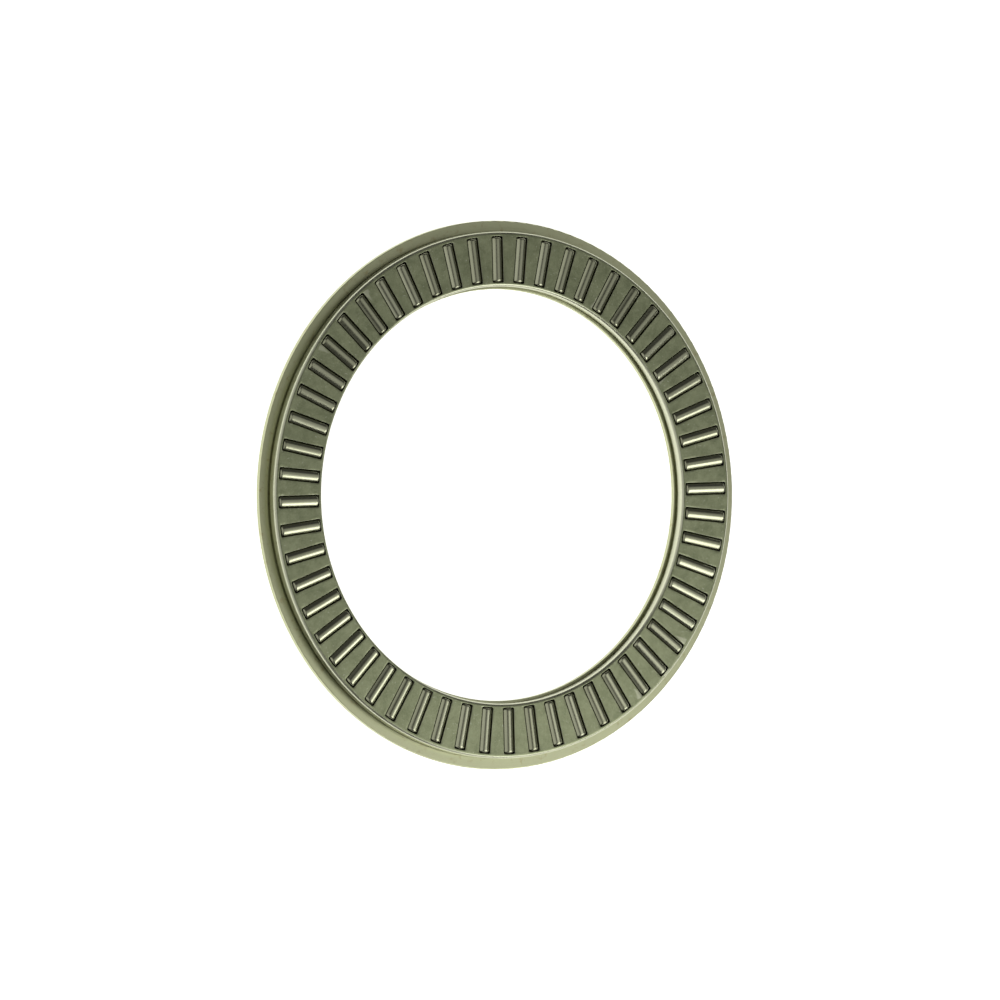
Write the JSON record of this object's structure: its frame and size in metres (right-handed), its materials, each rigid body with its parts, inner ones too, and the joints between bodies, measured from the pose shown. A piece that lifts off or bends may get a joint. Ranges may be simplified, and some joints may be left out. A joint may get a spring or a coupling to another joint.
{
  "type": "axial needle roller bearing with raceway washer",
  "caption": "Flat axial (thrust) needle roller bearing: a ring of radial needle rollers in a sheet-steel cage, lying on a plain raceway washer.",
  "frame": {"origin": "centre of the bearing on the washer's seating face", "axes": "+Z along the bearing axis, from the washer's seating face towards the rollers; +X through the middle of roller_01"},
  "size_m": [0.1, 0.1, 0.0035],
  "materials": {
    "washer_steel": "ground and oiled, straw-tinted",
    "cage_steel": "satin, dark grey-green",
    "roller_steel": "polished"
  },
  "bodies": {
    "raceway": {"raceway_washer": "washer_steel"},
    "cage": {"cage_top_ring": "cage_steel", "cage_bottom_ring": "cage_steel"},
    "roller_01": {"roller_01": "roller_steel"},
    "roller_02": {"roller_02": "roller_steel"},
    "roller_03": {"roller_03": "roller_steel"},
    "roller_04": {"roller_04": "roller_steel"},
    "roller_05": {"roller_05": "roller_steel"},
    "roller_06": {"roller_06": "roller_steel"},
    "roller_07": {"roller_07": "roller_steel"},
    "roller_08": {"roller_08": "roller_steel"},
    "roller_09": {"roller_09": "roller_steel"},
    "roller_10": {"roller_10": "roller_steel"},
    "roller_11": {"roller_11": "roller_steel"},
    "roller_12": {"roller_12": "roller_steel"},
    "roller_13": {"roller_13": "roller_steel"},
    "roller_14": {"roller_14": "roller_steel"},
    "roller_15": {"roller_15": "roller_steel"},
    "roller_16": {"roller_16": "roller_steel"},
    "roller_17": {"roller_17": "roller_steel"},
    "roller_18": {"roller_18": "roller_steel"},
    "roller_19": {"roller_19": "roller_steel"},
    "roller_20": {"roller_20": "roller_steel"},
    "roller_21": {"roller_21": "roller_steel"},
    "roller_22": {"roller_22": "roller_steel"},
    "roller_23": {"roller_23": "roller_steel"},
    "roller_24": {"roller_24": "roller_steel"},
    "roller_25": {"roller_25": "roller_steel"},
    "roller_26": {"roller_26": "roller_steel"},
    "roller_27": {"roller_27": "roller_steel"},
    "roller_28": {"roller_28": "roller_steel"},
    "roller_29": {"roller_29": "roller_steel"},
    "roller_30": {"roller_30": "roller_steel"},
    "roller_31": {"roller_31": "roller_steel"},
    "roller_32": {"roller_32": "roller_steel"},
    "roller_33": {"roller_33": "roller_steel"},
    "roller_34": {"roller_34": "roller_steel"},
    "roller_35": {"roller_35": "roller_steel"},
    "roller_36": {"roller_36": "roller_steel"},
    "roller_37": {"roller_37": "roller_steel"},
    "roller_38": {"roller_38": "roller_steel"},
    "roller_39": {"roller_39": "roller_steel"},
    "roller_40": {"roller_40": "roller_steel"},
    "roller_41": {"roller_41": "roller_steel"},
    "roller_42": {"roller_42": "roller_steel"},
    "roller_43": {"roller_43": "roller_steel"},
    "roller_44": {"roller_44": "roller_steel"},
    "roller_45": {"roller_45": "roller_steel"},
    "roller_46": {"roller_46": "roller_steel"},
    "roller_47": {"roller_47": "roller_steel"},
    "roller_48": {"roller_48": "roller_steel"},
    "roller_49": {"roller_49": "roller_steel"},
    "roller_50": {"roller_50": "roller_steel"},
    "roller_51": {"roller_51": "roller_steel"},
    "roller_52": {"roller_52": "roller_steel"},
    "roller_53": {"roller_53": "roller_steel"},
    "roller_54": {"roller_54": "roller_steel"},
    "roller_55": {"roller_55": "roller_steel"},
    "roller_56": {"roller_56": "roller_steel"}
  },
  "joints": [
    {"name": "cage_spin", "type": "hinge", "parent": "raceway", "child": "cage", "pos_m": [0, 0, 0.00227], "axis": [0, 0, 1], "continuous": true},
    {"name": "roller_01_roll", "type": "hinge", "parent": "cage", "child": "roller_01", "pos_m": [0.04295, 0, 0.00227], "axis": [1, 0, 0], "continuous": true},
    {"name": "roller_02_roll", "type": "hinge", "parent": "cage", "child": "roller_02", "pos_m": [0.04268, 0.00481, 0.00227], "axis": [0.9937, 0.112, 0], "continuous": true},
    {"name": "roller_03_roll", "type": "hinge", "parent": "cage", "child": "roller_03", "pos_m": [0.04187, 0.00956, 0.00227], "axis": [0.9749, 0.2225, 0], "continuous": true},
    {"name": "roller_04_roll", "type": "hinge", "parent": "cage", "child": "roller_04", "pos_m": [0.04054, 0.01419, 0.00227], "axis": [0.9439, 0.3303, 0], "continuous": true},
    {"name": "roller_05_roll", "type": "hinge", "parent": "cage", "child": "roller_05", "pos_m": [0.0387, 0.01864, 0.00227], "axis": [0.901, 0.4339, 0], "continuous": true},
    {"name": "roller_06_roll", "type": "hinge", "parent": "cage", "child": "roller_06", "pos_m": [0.03637, 0.02285, 0.00227], "axis": [0.8467, 0.532, 0], "continuous": true},
    {"name": "roller_07_roll", "type": "hinge", "parent": "cage", "child": "roller_07", "pos_m": [0.03358, 0.02678, 0.00227], "axis": [0.7818, 0.6235, 0], "continuous": true},
    {"name": "roller_08_roll", "type": "hinge", "parent": "cage", "child": "roller_08", "pos_m": [0.03037, 0.03037, 0.00227], "axis": [0.7071, 0.7071, 0], "continuous": true},
    {"name": "roller_09_roll", "type": "hinge", "parent": "cage", "child": "roller_09", "pos_m": [0.02678, 0.03358, 0.00227], "axis": [0.6235, 0.7818, 0], "continuous": true},
    {"name": "roller_10_roll", "type": "hinge", "parent": "cage", "child": "roller_10", "pos_m": [0.02285, 0.03637, 0.00227], "axis": [0.532, 0.8467, 0], "continuous": true},
    {"name": "roller_11_roll", "type": "hinge", "parent": "cage", "child": "roller_11", "pos_m": [0.01864, 0.0387, 0.00227], "axis": [0.4339, 0.901, 0], "continuous": true},
    {"name": "roller_12_roll", "type": "hinge", "parent": "cage", "child": "roller_12", "pos_m": [0.01419, 0.04054, 0.00227], "axis": [0.3303, 0.9439, 0], "continuous": true},
    {"name": "roller_13_roll", "type": "hinge", "parent": "cage", "child": "roller_13", "pos_m": [0.00956, 0.04187, 0.00227], "axis": [0.2225, 0.9749, 0], "continuous": true},
    {"name": "roller_14_roll", "type": "hinge", "parent": "cage", "child": "roller_14", "pos_m": [0.00481, 0.04268, 0.00227], "axis": [0.112, 0.9937, 0], "continuous": true},
    {"name": "roller_15_roll", "type": "hinge", "parent": "cage", "child": "roller_15", "pos_m": [0, 0.04295, 0.00227], "axis": [0, 1, 0], "continuous": true},
    {"name": "roller_16_roll", "type": "hinge", "parent": "cage", "child": "roller_16", "pos_m": [-0.00481, 0.04268, 0.00227], "axis": [-0.112, 0.9937, 0], "continuous": true},
    {"name": "roller_17_roll", "type": "hinge", "parent": "cage", "child": "roller_17", "pos_m": [-0.00956, 0.04187, 0.00227], "axis": [-0.2225, 0.9749, 0], "continuous": true},
    {"name": "roller_18_roll", "type": "hinge", "parent": "cage", "child": "roller_18", "pos_m": [-0.01419, 0.04054, 0.00227], "axis": [-0.3303, 0.9439, 0], "continuous": true},
    {"name": "roller_19_roll", "type": "hinge", "parent": "cage", "child": "roller_19", "pos_m": [-0.01864, 0.0387, 0.00227], "axis": [-0.4339, 0.901, 0], "continuous": true},
    {"name": "roller_20_roll", "type": "hinge", "parent": "cage", "child": "roller_20", "pos_m": [-0.02285, 0.03637, 0.00227], "axis": [-0.532, 0.8467, 0], "continuous": true},
    {"name": "roller_21_roll", "type": "hinge", "parent": "cage", "child": "roller_21", "pos_m": [-0.02678, 0.03358, 0.00227], "axis": [-0.6235, 0.7818, 0], "continuous": true},
    {"name": "roller_22_roll", "type": "hinge", "parent": "cage", "child": "roller_22", "pos_m": [-0.03037, 0.03037, 0.00227], "axis": [-0.7071, 0.7071, 0], "continuous": true},
    {"name": "roller_23_roll", "type": "hinge", "parent": "cage", "child": "roller_23", "pos_m": [-0.03358, 0.02678, 0.00227], "axis": [-0.7818, 0.6235, 0], "continuous": true},
    {"name": "roller_24_roll", "type": "hinge", "parent": "cage", "child": "roller_24", "pos_m": [-0.03637, 0.02285, 0.00227], "axis": [-0.8467, 0.532, 0], "continuous": true},
    {"name": "roller_25_roll", "type": "hinge", "parent": "cage", "child": "roller_25", "pos_m": [-0.0387, 0.01864, 0.00227], "axis": [-0.901, 0.4339, 0], "continuous": true},
    {"name": "roller_26_roll", "type": "hinge", "parent": "cage", "child": "roller_26", "pos_m": [-0.04054, 0.01419, 0.00227], "axis": [-0.9439, 0.3303, 0], "continuous": true},
    {"name": "roller_27_roll", "type": "hinge", "parent": "cage", "child": "roller_27", "pos_m": [-0.04187, 0.00956, 0.00227], "axis": [-0.9749, 0.2225, 0], "continuous": true},
    {"name": "roller_28_roll", "type": "hinge", "parent": "cage", "child": "roller_28", "pos_m": [-0.04268, 0.00481, 0.00227], "axis": [-0.9937, 0.112, 0], "continuous": true},
    {"name": "roller_29_roll", "type": "hinge", "parent": "cage", "child": "roller_29", "pos_m": [-0.04295, 0, 0.00227], "axis": [-1, 0, 0], "continuous": true},
    {"name": "roller_30_roll", "type": "hinge", "parent": "cage", "child": "roller_30", "pos_m": [-0.04268, -0.00481, 0.00227], "axis": [-0.9937, -0.112, 0], "continuous": true},
    {"name": "roller_31_roll", "type": "hinge", "parent": "cage", "child": "roller_31", "pos_m": [-0.04187, -0.00956, 0.00227], "axis": [-0.9749, -0.2225, 0], "continuous": true},
    {"name": "roller_32_roll", "type": "hinge", "parent": "cage", "child": "roller_32", "pos_m": [-0.04054, -0.01419, 0.00227], "axis": [-0.9439, -0.3303, 0], "continuous": true},
    {"name": "roller_33_roll", "type": "hinge", "parent": "cage", "child": "roller_33", "pos_m": [-0.0387, -0.01864, 0.00227], "axis": [-0.901, -0.4339, 0], "continuous": true},
    {"name": "roller_34_roll", "type": "hinge", "parent": "cage", "child": "roller_34", "pos_m": [-0.03637, -0.02285, 0.00227], "axis": [-0.8467, -0.532, 0], "continuous": true},
    {"name": "roller_35_roll", "type": "hinge", "parent": "cage", "child": "roller_35", "pos_m": [-0.03358, -0.02678, 0.00227], "axis": [-0.7818, -0.6235, 0], "continuous": true},
    {"name": "roller_36_roll", "type": "hinge", "parent": "cage", "child": "roller_36", "pos_m": [-0.03037, -0.03037, 0.00227], "axis": [-0.7071, -0.7071, 0], "continuous": true},
    {"name": "roller_37_roll", "type": "hinge", "parent": "cage", "child": "roller_37", "pos_m": [-0.02678, -0.03358, 0.00227], "axis": [-0.6235, -0.7818, 0], "continuous": true},
    {"name": "roller_38_roll", "type": "hinge", "parent": "cage", "child": "roller_38", "pos_m": [-0.02285, -0.03637, 0.00227], "axis": [-0.532, -0.8467, 0], "continuous": true},
    {"name": "roller_39_roll", "type": "hinge", "parent": "cage", "child": "roller_39", "pos_m": [-0.01864, -0.0387, 0.00227], "axis": [-0.4339, -0.901, 0], "continuous": true},
    {"name": "roller_40_roll", "type": "hinge", "parent": "cage", "child": "roller_40", "pos_m": [-0.01419, -0.04054, 0.00227], "axis": [-0.3303, -0.9439, 0], "continuous": true},
    {"name": "roller_41_roll", "type": "hinge", "parent": "cage", "child": "roller_41", "pos_m": [-0.00956, -0.04187, 0.00227], "axis": [-0.2225, -0.9749, 0], "continuous": true},
    {"name": "roller_42_roll", "type": "hinge", "parent": "cage", "child": "roller_42", "pos_m": [-0.00481, -0.04268, 0.00227], "axis": [-0.112, -0.9937, 0], "continuous": true},
    {"name": "roller_43_roll", "type": "hinge", "parent": "cage", "child": "roller_43", "pos_m": [0, -0.04295, 0.00227], "axis": [0, -1, 0], "continuous": true},
    {"name": "roller_44_roll", "type": "hinge", "parent": "cage", "child": "roller_44", "pos_m": [0.00481, -0.04268, 0.00227], "axis": [0.112, -0.9937, 0], "continuous": true},
    {"name": "roller_45_roll", "type": "hinge", "parent": "cage", "child": "roller_45", "pos_m": [0.00956, -0.04187, 0.00227], "axis": [0.2225, -0.9749, 0], "continuous": true},
    {"name": "roller_46_roll", "type": "hinge", "parent": "cage", "child": "roller_46", "pos_m": [0.01419, -0.04054, 0.00227], "axis": [0.3303, -0.9439, 0], "continuous": true},
    {"name": "roller_47_roll", "type": "hinge", "parent": "cage", "child": "roller_47", "pos_m": [0.01864, -0.0387, 0.00227], "axis": [0.4339, -0.901, 0], "continuous": true},
    {"name": "roller_48_roll", "type": "hinge", "parent": "cage", "child": "roller_48", "pos_m": [0.02285, -0.03637, 0.00227], "axis": [0.532, -0.8467, 0], "continuous": true},
    {"name": "roller_49_roll", "type": "hinge", "parent": "cage", "child": "roller_49", "pos_m": [0.02678, -0.03358, 0.00227], "axis": [0.6235, -0.7818, 0], "continuous": true},
    {"name": "roller_50_roll", "type": "hinge", "parent": "cage", "child": "roller_50", "pos_m": [0.03037, -0.03037, 0.00227], "axis": [0.7071, -0.7071, 0], "continuous": true},
    {"name": "roller_51_roll", "type": "hinge", "parent": "cage", "child": "roller_51", "pos_m": [0.03358, -0.02678, 0.00227], "axis": [0.7818, -0.6235, 0], "continuous": true},
    {"name": "roller_52_roll", "type": "hinge", "parent": "cage", "child": "roller_52", "pos_m": [0.03637, -0.02285, 0.00227], "axis": [0.8467, -0.532, 0], "continuous": true},
    {"name": "roller_53_roll", "type": "hinge", "parent": "cage", "child": "roller_53", "pos_m": [0.0387, -0.01864, 0.00227], "axis": [0.901, -0.4339, 0], "continuous": true},
    {"name": "roller_54_roll", "type": "hinge", "parent": "cage", "child": "roller_54", "pos_m": [0.04054, -0.01419, 0.00227], "axis": [0.9439, -0.3303, 0], "continuous": true},
    {"name": "roller_55_roll", "type": "hinge", "parent": "cage", "child": "roller_55", "pos_m": [0.04187, -0.00956, 0.00227], "axis": [0.9749, -0.2225, 0], "continuous": true},
    {"name": "roller_56_roll", "type": "hinge", "parent": "cage", "child": "roller_56", "pos_m": [0.04268, -0.00481, 0.00227], "axis": [0.9937, -0.112, 0], "continuous": true}
  ],
  "couplings": [
    {"joint": "roller_01_roll", "follows": "cage_spin", "ratio": -34.36},
    {"joint": "roller_02_roll", "follows": "cage_spin", "ratio": -34.36},
    {"joint": "roller_03_roll", "follows": "cage_spin", "ratio": -34.36},
    {"joint": "roller_04_roll", "follows": "cage_spin", "ratio": -34.36},
    {"joint": "roller_05_roll", "follows": "cage_spin", "ratio": -34.36},
    {"joint": "roller_06_roll", "follows": "cage_spin", "ratio": -34.36},
    {"joint": "roller_07_roll", "follows": "cage_spin", "ratio": -34.36},
    {"joint": "roller_08_roll", "follows": "cage_spin", "ratio": -34.36},
    {"joint": "roller_09_roll", "follows": "cage_spin", "ratio": -34.36},
    {"joint": "roller_10_roll", "follows": "cage_spin", "ratio": -34.36},
    {"joint": "roller_11_roll", "follows": "cage_spin", "ratio": -34.36},
    {"joint": "roller_12_roll", "follows": "cage_spin", "ratio": -34.36},
    {"joint": "roller_13_roll", "follows": "cage_spin", "ratio": -34.36},
    {"joint": "roller_14_roll", "follows": "cage_spin", "ratio": -34.36},
    {"joint": "roller_15_roll", "follows": "cage_spin", "ratio": -34.36},
    {"joint": "roller_16_roll", "follows": "cage_spin", "ratio": -34.36},
    {"joint": "roller_17_roll", "follows": "cage_spin", "ratio": -34.36},
    {"joint": "roller_18_roll", "follows": "cage_spin", "ratio": -34.36},
    {"joint": "roller_19_roll", "follows": "cage_spin", "ratio": -34.36},
    {"joint": "roller_20_roll", "follows": "cage_spin", "ratio": -34.36},
    {"joint": "roller_21_roll", "follows": "cage_spin", "ratio": -34.36},
    {"joint": "roller_22_roll", "follows": "cage_spin", "ratio": -34.36},
    {"joint": "roller_23_roll", "follows": "cage_spin", "ratio": -34.36},
    {"joint": "roller_24_roll", "follows": "cage_spin", "ratio": -34.36},
    {"joint": "roller_25_roll", "follows": "cage_spin", "ratio": -34.36},
    {"joint": "roller_26_roll", "follows": "cage_spin", "ratio": -34.36},
    {"joint": "roller_27_roll", "follows": "cage_spin", "ratio": -34.36},
    {"joint": "roller_28_roll", "follows": "cage_spin", "ratio": -34.36},
    {"joint": "roller_29_roll", "follows": "cage_spin", "ratio": -34.36},
    {"joint": "roller_30_roll", "follows": "cage_spin", "ratio": -34.36},
    {"joint": "roller_31_roll", "follows": "cage_spin", "ratio": -34.36},
    {"joint": "roller_32_roll", "follows": "cage_spin", "ratio": -34.36},
    {"joint": "roller_33_roll", "follows": "cage_spin", "ratio": -34.36},
    {"joint": "roller_34_roll", "follows": "cage_spin", "ratio": -34.36},
    {"joint": "roller_35_roll", "follows": "cage_spin", "ratio": -34.36},
    {"joint": "roller_36_roll", "follows": "cage_spin", "ratio": -34.36},
    {"joint": "roller_37_roll", "follows": "cage_spin", "ratio": -34.36},
    {"joint": "roller_38_roll", "follows": "cage_spin", "ratio": -34.36},
    {"joint": "roller_39_roll", "follows": "cage_spin", "ratio": -34.36},
    {"joint": "roller_40_roll", "follows": "cage_spin", "ratio": -34.36},
    {"joint": "roller_41_roll", "follows": "cage_spin", "ratio": -34.36},
    {"joint": "roller_42_roll", "follows": "cage_spin", "ratio": -34.36},
    {"joint": "roller_43_roll", "follows": "cage_spin", "ratio": -34.36},
    {"joint": "roller_44_roll", "follows": "cage_spin", "ratio": -34.36},
    {"joint": "roller_45_roll", "follows": "cage_spin", "ratio": -34.36},
    {"joint": "roller_46_roll", "follows": "cage_spin", "ratio": -34.36},
    {"joint": "roller_47_roll", "follows": "cage_spin", "ratio": -34.36},
    {"joint": "roller_48_roll", "follows": "cage_spin", "ratio": -34.36},
    {"joint": "roller_49_roll", "follows": "cage_spin", "ratio": -34.36},
    {"joint": "roller_50_roll", "follows": "cage_spin", "ratio": -34.36},
    {"joint": "roller_51_roll", "follows": "cage_spin", "ratio": -34.36},
    {"joint": "roller_52_roll", "follows": "cage_spin", "ratio": -34.36},
    {"joint": "roller_53_roll", "follows": "cage_spin", "ratio": -34.36},
    {"joint": "roller_54_roll", "follows": "cage_spin", "ratio": -34.36},
    {"joint": "roller_55_roll", "follows": "cage_spin", "ratio": -34.36},
    {"joint": "roller_56_roll", "follows": "cage_spin", "ratio": -34.36}
  ]
}
